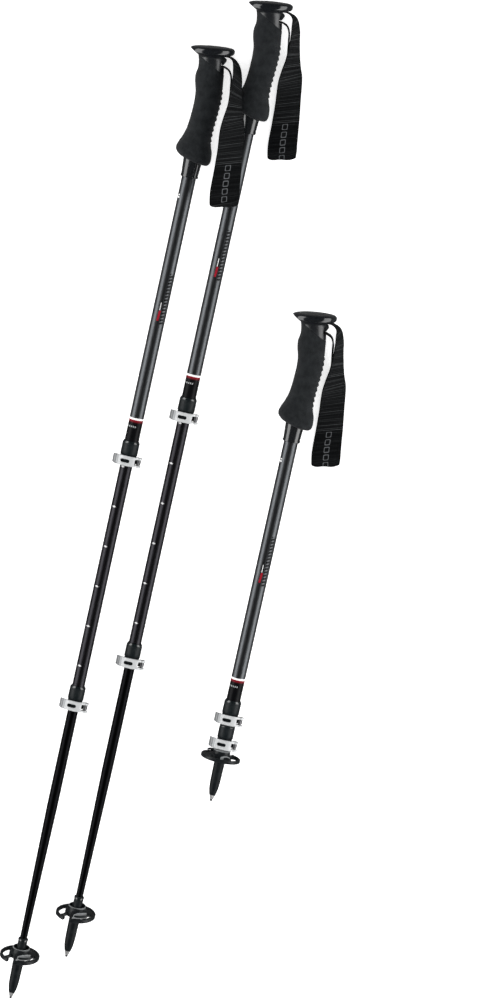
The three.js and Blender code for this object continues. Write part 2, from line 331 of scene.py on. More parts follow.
mouldedLooks = {
    "headGloss": {
        "colour": (0.005, 0.006, 0.007), "lighter": (0.008, 0.009, 0.011), "roughness": (0.30, 0.36),
        "grain": 4.0, "depth": 0.004, "specular": 0.75,
        "polishedBand": (-6.0, 12.0), "polished": 0.15, "shine": 0.75,
    },
    "collarGloss": {
        "colour": (0.005, 0.006, 0.007), "lighter": (0.008, 0.009, 0.010), "roughness": (0.15, 0.20),
        "grain": 4.0, "depth": 0.003, "specular": 1.0,
    },
    "clampSatin": {
        "colour": (0.003, 0.005, 0.006), "lighter": (0.006, 0.009, 0.010), "roughness": (0.42, 0.52),
        "grain": 3.0, "depth": 0.02, "specular": 0.25,
        "polishedBand": (22.2, 25.2), "polished": 0.16, "shine": 1.0,
    },
    "wedgeSatin": {
        "colour": (0.005, 0.006, 0.007), "lighter": (0.010, 0.011, 0.012), "roughness": (0.40, 0.52),
        "grain": 3.0, "depth": 0.02, "specular": 0.3,
    },
    "basketSatin": {
        "colour": (0.004, 0.005, 0.006), "lighter": (0.009, 0.011, 0.012), "roughness": (0.32, 0.44),
        "grain": 2.0, "depth": 0.03, "specular": 0.3,
    },
    "flexTipSatin": {
        "colour": (0.003, 0.004, 0.005), "lighter": (0.007, 0.009, 0.010), "roughness": (0.42, 0.52),
        "grain": 1.6, "depth": 0.03, "specular": 0.15,
        "polishedBand": (78.2, 80.4), "polished": 0.14, "shine": 1.0,
    },
    "bushNylon": {
        "colour": (0.045, 0.046, 0.05), "lighter": (0.065, 0.066, 0.07), "roughness": (0.45, 0.6),
        "grain": 1500.0, "depth": 0.03, "specular": 0.4, "stored": "",
    },
}


# A look may polish one band of heights, in millimetres.
def mouldedPlastic(name):
    look = mouldedLooks[name]
    material, shader = startMaterial(name, look["colour"], look["roughness"][0],
                                     specular=look["specular"])
    vector, x, y, z = placeOf(material, look.get("stored", "place"))
    fine = grain(material, vector, look["grain"])
    broad = grain(material, vector, look["grain"] / 12, detail=2.0)
    colour = mixColours(material, ranged(material, broad, 0, 1), look["colour"], look["lighter"])
    roughness = ranged(material, broad, *look["roughness"])
    if "polished" in look:
        band = between(material, y, *look["polishedBand"])
        duller = calc(material, "SUBTRACT", roughness, look["polished"])
        roughness = calc(material, "SUBTRACT", roughness, both(material, band, duller))
        shine = calc(material, "MULTIPLY_ADD", band, look["shine"] - look["specular"], look["specular"])
        wire(material, shine, shader.inputs["Specular IOR Level"])
    if name == "basketSatin":
        # painted highlights lighten the basket's hub rim and slot bead
        paintedHighlightMix = basketPaintedHighlights(material, x, y, z)
        colour = mixColours(material, paintedHighlightMix, colour, basketLook["edge"])
    wire(material, colour, shader.inputs["Base Color"])
    wire(material, roughness, shader.inputs["Roughness"])
    addBump(material, shader, fine, look["depth"])
    return material


# Plain metals: fine lines left by turning or brushing, and cloudy wear

metalLooks = {
    "leverAluminium": {
        "colour": (0.62, 0.63, 0.635), "darker": (0.50, 0.51, 0.515), "metallic": 0.3,
        "roughness": (0.34, 0.46), "lines": (0.25, 6.0, 0.25), "depth": 0.012,
    },
    "boltSteel": {
        "colour": (0.26, 0.26, 0.27), "darker": (0.15, 0.15, 0.155), "metallic": 0.9,
        "roughness": (0.26, 0.38), "lines": (1.0, 8.0, 1.0), "depth": 0.01,
    },
    "pinSteel": {
        "colour": (0.52, 0.52, 0.53), "darker": (0.36, 0.36, 0.37), "metallic": 1.0,
        "roughness": (0.25, 0.4), "lines": (900.0, 900.0, 4000.0), "depth": 0.01, "stored": "",
    },
}


# Painted shade: the thumb end of a lever is darkened, with stripes across it.
thumbPaintedShade = {
    "darkUpTo": -13.5, "brightFrom": -8.5, "stripeRate": 2.4, "stripeDepth": 0.2, "middle": 0.75,
    "colour": (0.12, 0.125, 0.13),
}


def leverShade(material, x):
    look = thumbPaintedShade
    thumb = ranged(material, x, 1, 0, look["darkUpTo"], look["brightFrom"])
    wave = calc(material, "SINE", both(material, x, look["stripeRate"]))
    stripe = calc(material, "MULTIPLY_ADD", wave, look["stripeDepth"], look["middle"])
    return both(material, thumb, stripe)


def plainMetal(name):
    look = metalLooks[name]
    material, shader = startMaterial(name, look["colour"], look["roughness"][0], look["metallic"])
    vector, x = placeOf(material, look.get("stored", "place"))[:2]
    lines = grain(material, stretched(material, vector, look["lines"]), 1.0, detail=4.0)
    colour = mixColours(material, ranged(material, lines, 0, 1), look["darker"], look["colour"])
    if name == "leverAluminium":
        # painted shade: the thumb end is darkened, in stripes
        colour = mixColours(material, leverShade(material, x), colour, thumbPaintedShade["colour"])
    cloud = grain(material, stretched(material, vector, look["lines"]), 0.06, detail=2.0)
    wire(material, colour, shader.inputs["Base Color"])
    wire(material, ranged(material, cloud, *look["roughness"]), shader.inputs["Roughness"])
    addBump(material, shader, lines, look["depth"])
    return material


# Grip: head with its pommel, foam, collar

gripLook = {
    "pommelCentre": -5.4, "tiltDegrees": 7.5, "tiltFrom": -22, "tiltTo": -7,
    "strapPocket": ((3.2, 24), (-19.6, -3), (-9.4, 9.4)),
    "jointHeight": -20.0, "jointSlope": -0.53, "jointGap": 0.03,
    "foamSteps": 140, "ridgePitch": 6.8, "ridgeDepth": 1.5, "ridgeTop": -46.5, "ridgeCount": 10,
    "endSlope": 0.2, "endMiddle": 5, "endFrom": 122, "endTo": 140, "bore": 9.25,
}
# Sections of the head, then of the foam, as (height, left, right, half depth)
headRows = [
    (-30, 18.8, 15.6, 14.9), (-26, 18.2, 15.2, 14.6), (-20, 18.3, 13.8, 14.2),
    (-14, 19.9, 12.8, 14.8), (-10.5, 20.8, 13.4, 15.8), (-8.6, 21.8, 14.3, 16.9), (-7.2, 23.7, 15.8, 18.6),
    (-6.4, 26.6, 17.8, 20.9), (-6.0, 30.2, 20, 23.2), (-5.2, 33, 22, 24.4), (-3.4, 34.1, 23, 25.3),
    (-0.6, 34.1, 23, 25.3), (1.5, 33.1, 22.1, 24.5), (2.9, 30.2, 19.5, 22.9), (3.7, 25.8, 15.2, 19),
    (3.9, 21, 10.6, 14.8), (4.1, 18.4, 8, 12.4),
    (3.6, 17.8, 7.4, 11.9), (4.2, 17.2, 6.8, 11.4), (4.5, 13, 3.4, 8),
]
foamRows = [
    (-142, 10, 12, 12), (-141.7, 14, 15.4, 14.4), (-140.4, 18.6, 18.8, 16.6), (-137.4, 22.4, 21.4, 17.8),
    (-133, 23.9, 22.3, 18), (-126, 24.0, 21.4, 18), (-120, 22.4, 19.2, 17.6), (-113, 19.4, 17.6, 17),
    (-103, 16.3, 17.2, 16.2), (-92, 14.9, 17.6, 15.6), (-80, 14.2, 18.4, 15.4), (-67, 14.0, 19, 15.4),
    (-55, 15.0, 18.9, 15.5), (-43, 18.2, 17.4, 15.6), (-34, 19.4, 16.2, 15.2), (-25, 18.2, 15.2, 14.6),
    (-16, 19.3, 13.6, 14.5), (-8, 22.0, 14.2, 16.8), (-2, 24.5, 16, 18),
]


def cutSlanted(piece, lift, keepAbove):
    makeActive(piece)
    bpy.ops.object.mode_set(mode="EDIT")
    bpy.ops.mesh.select_all(action="SELECT")
    bpy.ops.mesh.bisect(plane_co=(0, gripLook["jointHeight"] + lift, 0),
                        plane_no=(-gripLook["jointSlope"], 1, 0), use_fill=True,
                        clear_inner=keepAbove, clear_outer=not keepAbove)
    bpy.ops.object.mode_set(mode="OBJECT")


def gripHead():
    piece = loftPiece("head", headRows, sides=40)
    useModifier(piece, "SUBSURF", levels=2, render_levels=2)
    tilt = math.tan(math.radians(gripLook["tiltDegrees"]))
    for vertex in piece.data.vertices:
        lean = tilt * smoothStep(vertex.co.y, gripLook["tiltFrom"], gripLook["tiltTo"])
        vertex.co.y += lean * (vertex.co.x - gripLook["pommelCentre"])
    cutSlanted(piece, 0, keepAbove=True)
    cutAway(piece, roundBlock("pocket", *gripLook["strapPocket"], 1.2))
    roundEdges(piece, 0.45, 3, above=50)
    return piece


# Finger ridges stand out on the strap's side and fade round the foam.
def foamRidge(point, middle, half):
    first = gripLook["ridgeTop"] - gripLook["ridgePitch"] * gripLook["ridgeCount"]
    if not first < point.y < gripLook["ridgeTop"]:
        return 0.0
    turn = (point.y - first) / gripLook["ridgePitch"] % 1
    tooth = smoothStep(turn, 0, 0.3) * (1 - smoothStep(turn, 0.3, 1))
    around = smoothStep((point.x - middle) / half, 0.2, 0.85)
    return gripLook["ridgeDepth"] * (tooth - 0.45) * around


def foamGrip():
    look = gripLook
    rows = [alongRows(foamRows, step / look["foamSteps"]) for step in range(look["foamSteps"] + 1)]
    piece = loftPiece("foam", rows, sides=56)
    for vertex in piece.data.vertices:
        row = min(rows, key=lambda r: abs(r[0] - vertex.co.y))
        middle, half = (row[2] - row[1]) / 2, (row[2] + row[1]) / 2
        vertex.co.x += foamRidge(vertex.co, middle, half)
        lowEnd = smoothStep(-vertex.co.y, look["endFrom"], look["endTo"])
        vertex.co.y -= look["endSlope"] * (vertex.co.x - look["endMiddle"]) * lowEnd
    cutSlanted(piece, -look["jointGap"], keepAbove=False)
    cutAway(piece, rodPiece("bore", look["bore"], -150, -10, sides=72))
    roundEdges(piece, 0.6, 3, above=50)
    return piece


foamLook = {
    "dark": (0.004, 0.005, 0.006), "light": (0.017, 0.019, 0.0205), "roughness": (0.72, 0.92),
    "cells": 2.2, "cellShare": 0.6, "clouds": 0.12, "cloudShare": 0.4, "depth": 0.22,
}


def foamRubber():
    look = foamLook
    material, shader = startMaterial("foamRubber", look["light"], 0.8, specular=0.15,
                                     sheen=0.05, sheenRoughness=0.5)
    vector = placeOf(material)[0]
    cells = grain(material, vector, look["cells"], detail=2.0, rough=0.7)
    clouds = grain(material, vector, look["clouds"], detail=3.0)
    tone = calc(material, "ADD", both(material, cells, look["cellShare"]),
                both(material, clouds, look["cloudShare"]))
    colour = mixColours(material, ranged(material, tone, 0, 1, 0.38, 0.62), look["dark"], look["light"])
    wire(material, colour, shader.inputs["Base Color"])
    wire(material, ranged(material, tone, *look["roughness"]), shader.inputs["Roughness"])
    addBump(material, shader, cells, look["depth"])
    return material


collarOutline = [(9.3, -162), (10.5, -162), (11.0, -161.6), (11.15, -161), (11.15, -159.8),
                 (10.9, -159.2), (10.75, -158.6), (12.1, -137), (11.8, -136), (9.3, -136),
                 (9.3, -162)]


def gripPieces():
    putOnPoles(gripHead(), "grip_head", "grip", "upper", mouldedPlastic("headGloss"))
    putOnPoles(foamGrip(), "foam_grip", "grip", "upper", foamRubber())
    collar = turnPiece("collar", collarOutline, 72, hollow=True)
    putOnPoles(collar, "grip_collar", "grip", "upper", mouldedPlastic("collarGloss"))


gripPieces()


# Wrist strap: ribbed webbing. Rows are (x, y, raised z, laid z, width, turn in degrees): at turn 0
# the webbing stands on edge and at 90 it lies flat. It starts and ends inside the head.

strapLook = {
    "thickness": 1.8, "ribPitch": 1.7, "ribDepth": 0.11, "samplesPerRib": 4, "acrossCells": 16,
    # the ribs' slant across the band; the fold's raised corners and slight wave
    "slant": 3.6, "slantFrom": 45, "slantTo": 95,
    "foldFrom": 168, "foldCorner": 2.2, "foldWave": 0.35, "waveRate": 5.3,
}
strapRows = [
    (8, -5.6, 0, 0, 16, 0), (13, -4.7, 0.2, 0, 16.4, 0), (19, -5, 1, 0, 16.8, 5),
    (25, -8.2, 3, 0, 17.2, 12), (29.2, -14.6, 7, -1.5, 18, 24), (32.4, -26, 15, -4, 19.5, 30),
    (34.1, -38, 23, -6, 21, 33), (35.6, -50.5, 29.5, -7, 23, 38), (36.7, -62.6, 33, -8, 25, 45),
    (37.6, -76, 34, -9.5, 27.5, 60), (39.3, -89, 33, -12, 29.5, 77), (42.2, -112.6, 28.8, -16.2, 30.5, 90),
    (44.7, -137.6, 28.5, -16.4, 33, 90), (46.6, -162.6, 28.5, -16.4, 35.6, 90),
    (48.6, -178, 28.5, -16.4, 35.6, 90), (49.7, -184.4, 27, -18, 34.2, 90),
    (49.9, -186.4, 24.5, -20.4, 33, 90), (49.6, -184.4, 22, -22.5, 34, 90),
    (48.6, -178, 20.5, -23.7, 35, 90), (46.6, -162.6, 20.4, -23.9, 35, 90),
    (44.7, -137.6, 20.4, -23.8, 33, 90), (42.2, -112.6, 20.4, -23.7, 30.5, 90),
    (39, -94, 24.2, -20, 28.5, 72), (34.8, -80, 28.2, -15, 26, 45), (30, -60.6, 27, -14.2, 19.5, 6),
    (27.2, -43, 17.5, -12.4, 19, 0), (24.8, -29, 7.5, -5, 18, 0), (20.8, -21.8, 3.4, -1.5, 17, 0),
    (14.8, -18.5, 1, 0, 16.4, 0), (9, -17.8, 0, 0, 16, 0),
]


# Evenly spaced rows along the loop, and the loop's length.
def strapPath(raised, steps):
    rows = [(x, y, up if raised else down, width, turn) for x, y, up, down, width, turn in strapRows]
    fine = [alongRows(rows, step / 2000) for step in range(2001)]
    lengths = [0.0]
    for a, b in zip(fine, fine[1:]):
        lengths.append(lengths[-1] + (Vector(b[:3]) - Vector(a[:3])).length)
    path, index = [], 0
    for step in range(steps + 1):
        wanted = lengths[-1] * step / steps
        while index < len(lengths) - 2 and lengths[index + 1] < wanted:
            index += 1
        part = (wanted - lengths[index]) / (lengths[index + 1] - lengths[index])
        path.append([p + (q - p) * part for p, q in zip(fine[index], fine[index + 1])])
    return path, lengths[-1]


def wristStrap(raised):
    look = strapLook
    length = strapPath(raised, 1)[1]
    steps = round(length / look["ribPitch"]) * look["samplesPerRib"]
    path = strapPath(raised, steps)[0]
    foldEnd = min(point[1] for point in path)
    cleanStart()
    bpy.ops.mesh.primitive_grid_add(x_subdivisions=look["acrossCells"], y_subdivisions=steps, size=1)
    piece = bpy.context.active_object
    weave = piece.data.attributes.new("weave", "FLOAT_VECTOR", "POINT")
    for index, vertex in enumerate(piece.data.vertices):
        step = round((vertex.co.y + 0.5) * steps)
        x, y, z, width, turn = path[step]
        ahead = Vector(path[min(step + 1, steps)][:3])
        behind = Vector(path[max(step - 1, 0)][:3])
        tangent = (ahead - behind).normalized()
        turn = math.radians(turn)
        across = Vector((-math.sin(turn), 0, math.cos(turn)))
        across = (across - tangent * across.dot(tangent)).normalized()
        outward = across.cross(tangent)
        side = vertex.co.x * 2
        rib = math.cos(2 * math.pi * step / look["samplesPerRib"])
        place = Vector((x, y, z)) + across * side * width / 2
        nearFold = smoothStep(-y, look["foldFrom"], -foldEnd)
        wave = look["foldWave"] * math.sin(look["waveRate"] * side + 1)
        place.y += nearFold * (look["foldCorner"] * abs(side) ** 5 + wave)
        place.y -= look["slant"] * side * smoothStep(-y, look["slantFrom"], look["slantTo"])
        along = step * look["ribPitch"] / look["samplesPerRib"]
        weave.data[index].vector = (side * width / 2, along, (1 - abs(side)) * width / 2)
        vertex.co = place + outward * look["ribDepth"] * rib * (1 - abs(side) ** 8)
    useModifier(piece, "SOLIDIFY", thickness=look["thickness"], offset=0)
    roundEdges(piece, 0.5, 2, above=60)
    faceOut(piece)
    return piece


# Woven mark: a chain of outlined rounded blocks down the middle of the outer layer
webbingLook = {
    "dark": (0.0015, 0.0017, 0.002), "light": (0.062, 0.065, 0.067), "mark": (0.10, 0.105, 0.11),
    "markFrom": 154.0, "markTo": 203.0, "markPitch": 9.8, "markHalfLength": 3.7,
    "markHalfWidth": 3.4, "markLine": 0.85, "stitches": (70.0, 85.0), "seamFromEdge": 4.5,
    "stitchHalf": 0.5, "seamHalf": 0.3, "stitchLength": 2.4, "yarnWidth": 0.9,
}


def webbing():
    look = webbingLook
    material, shader = startMaterial("webbing", look["dark"], 0.75, specular=0.03)
    vector, across, along, edge = placeOf(material, "weave")
    ribTurn = 2 * math.pi / strapLook["ribPitch"]
    rib = calc(material, "COSINE", both(material, along, ribTurn))
    yarn = calc(material, "SINE", both(material, across, 2 * math.pi / look["yarnWidth"]))
    weave = calc(material, "MULTIPLY_ADD", both(material, rib, yarn), 0.25, 0.5)
    fuzz = grain(material, stretched(material, vector, (3.0, 1.2, 3.0)), 1.0, detail=3.0)
    # Painted highlight: the rib crests are coloured lighter, some ribs more than others; weave and fuzz add
    # fibre tone.
    crest = calc(material, "MULTIPLY_ADD", rib, 0.5, 0.5)
    tone = calc(material, "ADD", both(material, crest, 0.55),
                calc(material, "ADD", both(material, weave, 0.15), both(material, fuzz, 0.3)))
    streak = grain(material, stretched(material, vector, (0.006, 1.5, 0.0)), 1.0, detail=0.0)
    run = between(material, along, look["markFrom"], look["markTo"])
    paintedCrestsAndFibres = ranged(material, tone, 0, 1, 0.15, 0.9)
    paintedRibHighlights = ranged(material, streak, 0.08, 1.0, 0.5, 0.72)
    calmer = calc(material, "MULTIPLY_ADD", run, -0.6, 1.0)  # darker behind the mark
    paintedHighlightMix = both(material, both(material, paintedCrestsAndFibres, paintedRibHighlights), calmer)
    plain = mixColours(material, paintedHighlightMix, look["dark"], look["light"])
    cell = calc(material, "PINGPONG", calc(material, "SUBTRACT", along, look["markFrom"]),
                look["markPitch"] / 2)
    outLong = calc(material, "SUBTRACT", cell, look["markPitch"] / 2 - look["markHalfLength"])
    outWide = calc(material, "SUBTRACT", look["markHalfWidth"], calc(material, "ABSOLUTE", across))
    inside = calc(material, "SMOOTH_MIN", outLong, outWide, 2.0)
    ringMask = between(material, inside, 0.0, look["markLine"])
    marked = mixColours(material, both(material, ringMask, run), plain, look["mark"])
    wire(material, marked, shader.inputs["Base Color"])
    wire(material, ranged(material, fuzz, 0.6, 0.85), shader.inputs["Roughness"])
    half = look["stitchHalf"]
    stitches = [between(material, along, place - half, place + half) for place in look["stitches"]]
    turns = calc(material, "SINE", both(material, across, 2 * math.pi / look["stitchLength"]))
    thread = both(material, calc(material, "ADD", *stitches), turns)
    half = look["seamHalf"]
    seam = between(material, edge, look["seamFromEdge"] - half, look["seamFromEdge"] + half)
    thread = calc(material, "SUBTRACT", thread, seam)
    height = calc(material, "ADD", both(material, weave, 0.6),
                  calc(material, "ADD", both(material, fuzz, 0.4), thread))
    addBump(material, shader, height, 0.25)
    return material


def strapPieces():
    cloth = webbing()
    for raised, poles in ((True, ["left"]), (False, ["centre", "right"])):
        straps = putOnPoles(wristStrap(raised), "wrist_strap", "grip", "strap", cloth,
                            poles, ride=False)
        for pole, strap in zip(poles, straps):
            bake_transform(strap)


strapPieces()


# Strap wedge: an outline extruded across the head and rounded

wedgeOutline = [(9.4, -6.7), (13, -7.2), (15, -8.6), (15, -10.4), (12.8, -15), (11.8, -15.9), (9.4, -16.1)]


def extrudedOutline(name, outline, low, high):
    cleanStart()
    bpy.ops.mesh.primitive_circle_add(vertices=len(outline), radius=1, fill_type="NGON")
    piece = bpy.context.active_object
    piece.name = name
    for vertex, (x, y) in zip(piece.data.vertices, outline):
        vertex.co = (x, y, low)
    bpy.ops.object.mode_set(mode="EDIT")
    bpy.ops.mesh.select_all(action="SELECT")
    bpy.ops.mesh.extrude_region_move(TRANSFORM_OT_translate={"value": (0, 0, high - low)})
    bpy.ops.object.mode_set(mode="OBJECT")
    faceOut(piece)
    return piece


wedge = extrudedOutline("wedge", wedgeOutline, -7.5, 7.5)
roundEdges(wedge, 0.7, 3)
putOnPoles(wedge, "strap_wedge", "grip", "wedge", mouldedPlastic("wedgeSatin"))


# Tubes, with their printed rings and marks

tubeLook = {
    "wall": 0.8, "sides": 72,
    "upper": 9.0, "middle": 7.9, "lower": 6.7, "lowerEnd": 4.6,
    "lowerTaper": (88, 258), "gripReach": 528, "middleEnd": 415, "lowerReach": 468,
}


def tubePiece(name, radius, low, high):
    inner = radius - tubeLook["wall"]
    edge = 0.15
    outline = [(inner, low), (radius - edge, low), (radius, low + edge), (radius, high - edge),
               (radius - edge, high), (inner, high), (inner, low)]
    return turnPiece(name, outline, tubeLook["sides"], hollow=True)


def lowerTube():
    wall, thick, thin = tubeLook["wall"], tubeLook["lower"], tubeLook["lowerEnd"]
    taperLow, taperHigh = tubeLook["lowerTaper"]
    low, high = 40, tubeLook["lowerReach"]
    outline = [(thin - wall, low), (thin, low), (thin, taperLow), (thick, taperHigh), (thick, high),
               (thick - wall, high), (thick - wall, taperHigh), (thin - wall, taperLow),
               (thin - wall, low)]
    return turnPiece("lowerTube", outline, tubeLook["sides"], hollow=True)


paintLooks = {
    "upper": {"base": (0.125, 0.130, 0.136), "fleck": (0.085, 0.089, 0.095), "roughness": (0.36, 0.42)},
    "middle": {"base": (0.046, 0.044, 0.049), "fleck": (0.030, 0.029, 0.033), "roughness": (0.36, 0.43)},
    "lower": {"base": (0.010, 0.010, 0.011), "fleck": (0.006, 0.006, 0.007), "roughness": (0.36, 0.44)},
}


# Anodised metal: a base with fine lengthwise lines. Prints come on top as (mask, colour) pairs.
def paintedTube(name, makePrints):
    look = paintLooks[name]
    material, shader = startMaterial(name + "Anodised", look["base"], look["roughness"][0], 1.0,
                                     specular=0.25, tint=(0.4, 0.4, 0.41, 1))
    vector, x, y, z = placeOf(material)
    lines = grain(material, stretched(material, vector, (2.2, 0.05, 2.2)), 1.0, detail=4.0)
    speck = grain(material, vector, 5.0, detail=2.0)
    tone = calc(material, "ADD", both(material, lines, 0.7), both(material, speck, 0.3))
    colour = mixColours(material, ranged(material, tone, 0, 1), look["fleck"], look["base"])
    metal = None
    for mask, ink in makePrints(material, x, y, z):
        colour = mixColours(material, mask, colour, ink)
        kept = calc(material, "MULTIPLY_ADD", mask, -1.0, 1.0)
        metal = kept if metal is None else calc(material, "MINIMUM", metal, kept)
    wire(material, colour, shader.inputs["Base Color"])
    if metal is not None:
        wire(material, metal, shader.inputs["Metallic"])
    wire(material, ranged(material, lines, *look["roughness"]), shader.inputs["Roughness"])
    addBump(material, shader, tone, 0.012)
    return material


printLook = {
    "white": (0.82, 0.82, 0.82), "red": (0.26, 0.006, 0.016), "black": (0.002, 0.002, 0.0025),
    "pale": (0.30, 0.31, 0.31), "diamond": (0.62, 0.62, 0.62),
    "ringWhite": (52.6, 55.1), "ringRed": (48.6, 52.6), "ringBlack": (20.0, 52.6),
    "barsAcross": (2.4, 6.6), "barsAlong": (178.0, 243.0), "barPitch": 4.3, "barFill": 0.62,
    "barSlant": 0.35, "dashAcross": (-8.6, 2.0), "dashAlong": (42.8, 44.8), "dashRate": 0.42,
    "dashFill": 0.6, "accentAcross": (-1.7, 0.9), "accentAlong": (182.0, 195.0), "accentMiddle": 188.5,
    "accentSlant": 0.06, "lineAcross": (-0.9, -0.1), "lineAlong": (195.5, 205.5),
    "dotsAcross": (-8.4, -6.6), "lowDot": (338.6, 340.6), "highDot": (342.0, 343.4),
    "firstDiamond": 51.8, "diamondPitch": 52.5, "diamonds": 6, "diamondAcross": -4.0,
    "diamondHalfLength": 1.4, "diamondHalfWidth": 2.4,
}


def patch(material, x, y, across, along):
    return both(material, between(material, x, *across), between(material, y, *along))


def upperPrints(material, x, y, z):
    look = printLook
    front = calc(material, "GREATER_THAN", z, 0.0)
    slanted = calc(material, "SUBTRACT", y, both(material, x, look["barSlant"]))
    phase = calc(material, "FRACT", calc(material, "DIVIDE", slanted, look["barPitch"]))
    bar = calc(material, "LESS_THAN", phase, look["barFill"])
    bars = both(material, bar, patch(material, x, y, look["barsAcross"], look["barsAlong"]))
    phase = calc(material, "FRACT", both(material, x, look["dashRate"]))
    dash = both(material, calc(material, "LESS_THAN", phase, look["dashFill"]),
                patch(material, x, y, look["dashAcross"], look["dashAlong"]))
    shift = both(material, calc(material, "SUBTRACT", y, look["accentMiddle"]), look["accentSlant"])
    accent = patch(material, calc(material, "SUBTRACT", x, shift), y, look["accentAcross"],
                   look["accentAlong"])
    line = patch(material, x, y, look["lineAcross"], look["lineAlong"])
    dots = both(material, between(material, x, *look["dotsAcross"]),
                calc(material, "ADD", between(material, y, *look["lowDot"]),
                     between(material, y, *look["highDot"])))
    # the red ring fades out downwards
    red = both(material, between(material, y, *look["ringRed"]),
               ranged(material, y, 0, 1, *look["ringRed"]))
    prints = [(between(material, y, *look["ringBlack"]), look["black"]), (red, look["red"]),
              (between(material, y, *look["ringWhite"]), look["white"])]
    for mask, ink in ((bars, "black"), (dash, "pale"), (accent, "red"), (line, "white"), (dots, "white")):
        prints.append((both(material, mask, front), look[ink]))
    return prints


def middlePrints(material, x, y, z):
    look = printLook
    low = look["firstDiamond"] - look["diamondPitch"] / 2
    cell = calc(material, "FRACT", calc(material, "DIVIDE", calc(material, "SUBTRACT", y, low),
                                        look["diamondPitch"]))
    lengthwise = calc(material, "ABSOLUTE", both(material, calc(material, "SUBTRACT", cell, 0.5),
                                                 look["diamondPitch"]))
    sideways = calc(material, "ABSOLUTE", calc(material, "SUBTRACT", x, look["diamondAcross"]))
    size = calc(material, "ADD", calc(material, "DIVIDE", lengthwise, look["diamondHalfLength"]),
                calc(material, "DIVIDE", sideways, look["diamondHalfWidth"]))
    diamond = both(material, calc(material, "LESS_THAN", size, 1.0), calc(material, "GREATER_THAN", z, 0.0))
    span = between(material, y, low, low + look["diamonds"] * look["diamondPitch"])
    return [(both(material, diamond, span), look["diamond"])]


def noPrints(material, x, y, z):
    return []


def tubePieces():
    reach = tubeLook["gripReach"]
    upper = tubePiece("upperTube", tubeLook["upper"], 1.5, reach - pommelAbove)
    putOnPoles(upper, "upper_tube", "upperClamp", "upper", paintedTube("upper", upperPrints))
    middle = tubePiece("middleTube", tubeLook["middle"], 1.5, tubeLook["middleEnd"])
    putOnPoles(middle, "middle_tube", "lowerClamp", "middle",
               paintedTube("middle", middlePrints))
    putOnPoles(lowerTube(), "lower_tube", "tip", "lower", paintedTube("lower", noPrints))


tubePieces()


# Lever clamps: sleeve with split ears, bolt and lever

clampLook = {
    "upperSleeve": 10.85, "lowerSleeve": 10.05, "bottom": -7, "leverHalf": 6.3,
    "hingeX": 14, "hingeZ": 7.2, "split": 0.75, "earOut": 3.75, "earReach": 17, "earHalf": 3.3,
    "boltHole": 2, "leverThickness": 2.2, "boss": 4, "pivotHole": 2.4,
    "fork": ((9.3, 24), (-3.75, 3.75), (-2, 20)), "leverSlot": ((-8.8, 2.6), (-2.3, 2.3), (4, 22)),
    "grooves": (0.80, 0.865, 0.93), "groove": 0.45, "grooveOut": 1.35,
}
# The lever's middle line round the sleeve, as (x, z) from its hinge to its thumb end
leverLine = [(14, 8.6), (10.5, 10.8), (5, 12.8), (0, 13.3), (-6, 12.7), (-11.5, 10.2), (-15.6, 6.4),
             (-18, 1.5)]


def clampBody(sleeve, outerTube, innerTube):
    look = clampLook
    body = sleeve - 0.6
    shoulder = look["leverHalf"] + 0.3
    bore, socket = innerTube + 0.3, outerTube + 0.3
    outline = [
        (bore, look["bottom"]), (body - 0.8, look["bottom"]), (body, look["bottom"] + 0.8),
        (body, shoulder), (sleeve - 0.15, shoulder + 0.45), (sleeve, shoulder + 0.8),
        (sleeve, clampTop - 2.7), (sleeve - 0.12, clampTop - 2.2), (sleeve - 1.15, clampTop - 0.3),
        (sleeve - 1.4, clampTop), (socket, clampTop), (socket, 1), (bore, 1), (bore, look["bottom"]),
    ]
    piece = turnPiece("clampBody", outline, 72, hollow=True)
    for side in (-1, 1):
        z = sorted((side * look["split"], side * look["earOut"]))
        ear = roundBlock("ear", (body - 1.2, look["earReach"]), (-look["earHalf"], look["earHalf"]), z, 0.5)
        joinOn(piece, ear)
    cutAway(piece, roundBlock("split", (4, look["earReach"] + 1), (look["bottom"] - 1, 5),
                              (-look["split"], look["split"])))
    cutAway(piece, rodPiece("boltHole", look["boltHole"], -6, 6, look["hingeX"], upright=True))
    roundEdges(piece, 0.2, 2, above=45)
    return piece


def clampBolt():
    x, z = clampLook["hingeX"], clampLook["hingeZ"]
    piece = turnPiece("barrel", [(1.7, -5.9), (2.1, -5.5), (2.1, 5.5), (1.7, 5.9)], 32)
    piece.data.transform(Matrix.Translation((x, 0, z)))
    joinOn(piece, rodPiece("screw", 1.6, -z, 5, x, upright=True))
    head = turnPiece("head", [(3, 4.05), (3, 6.9), (2.5, 7.4)], 32)
    head.data.transform(Matrix.Rotation(-math.pi / 2, 4, "X"))
    head.data.transform(Matrix.Translation((x, 0, 0)))
    joinOn(piece, head)
    cutAway(piece, roundBlock("slot", (x - 0.4, x + 0.4), (4.9, 7), (z - 3, z + 3)))
    socket = rodPiece("socket", 1.3, 6.2, 8, upright=True, sides=6)
    socket.data.transform(Matrix.Rotation(math.pi, 4, "X"))
    socket.data.transform(Matrix.Translation((x, 0, 0)))
    cutAway(piece, socket)
    return piece


def leverBand():
    steps, rows = 44, 8
    cleanStart()
    bpy.ops.mesh.primitive_grid_add(x_subdivisions=steps, y_subdivisions=rows, size=1)
    piece = bpy.context.active_object
    for vertex in piece.data.vertices:
        t = vertex.co.x + 0.5
        x, z = alongRows(leverLine, t)
        narrow = 1 - 0.12 * smoothStep(t, 0.78, 1.0)
        vertex.co = (x, vertex.co.y * 2 * clampLook["leverHalf"] * narrow, z)
    useModifier(piece, "SOLIDIFY", thickness=clampLook["leverThickness"], offset=0)
    faceOut(piece)
    return piece


